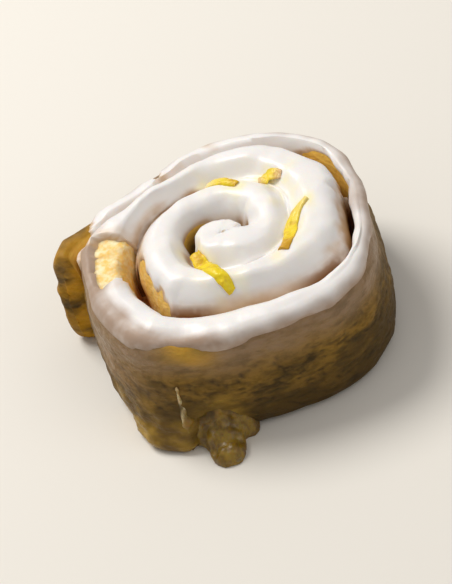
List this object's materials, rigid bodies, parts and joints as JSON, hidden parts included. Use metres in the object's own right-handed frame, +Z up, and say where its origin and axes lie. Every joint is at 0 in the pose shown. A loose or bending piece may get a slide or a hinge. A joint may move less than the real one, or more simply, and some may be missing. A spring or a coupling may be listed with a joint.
{
  "type": "iced lemon roll",
  "caption": "Coiled sweet bun with a raised spiral, a loose tail end, thick icing over the top and strips of lemon zest.",
  "frame": {"origin": "middle of the coil on the flat base", "axes": "+Z up, the roll's shortest extent; +X to the right and +Y to the back as the roll is seen from its front"},
  "size_m": [0.1086, 0.1115, 0.0485],
  "materials": {
    "crust": "baked crust, golden to olive brown, slightly moist",
    "icing": "set sugar icing, warm white, soft gloss",
    "zest": "fresh lemon peel, satin",
    "sugar": "baked sugar run, amber, glossy"
  },
  "bodies": {
    "root": {"dough": "crust", "icing": "icing", "zest_middle": "zest", "zest_right": "zest", "zest_back": "zest", "zest_back_right": "zest"}
  },
  "joints": []
}
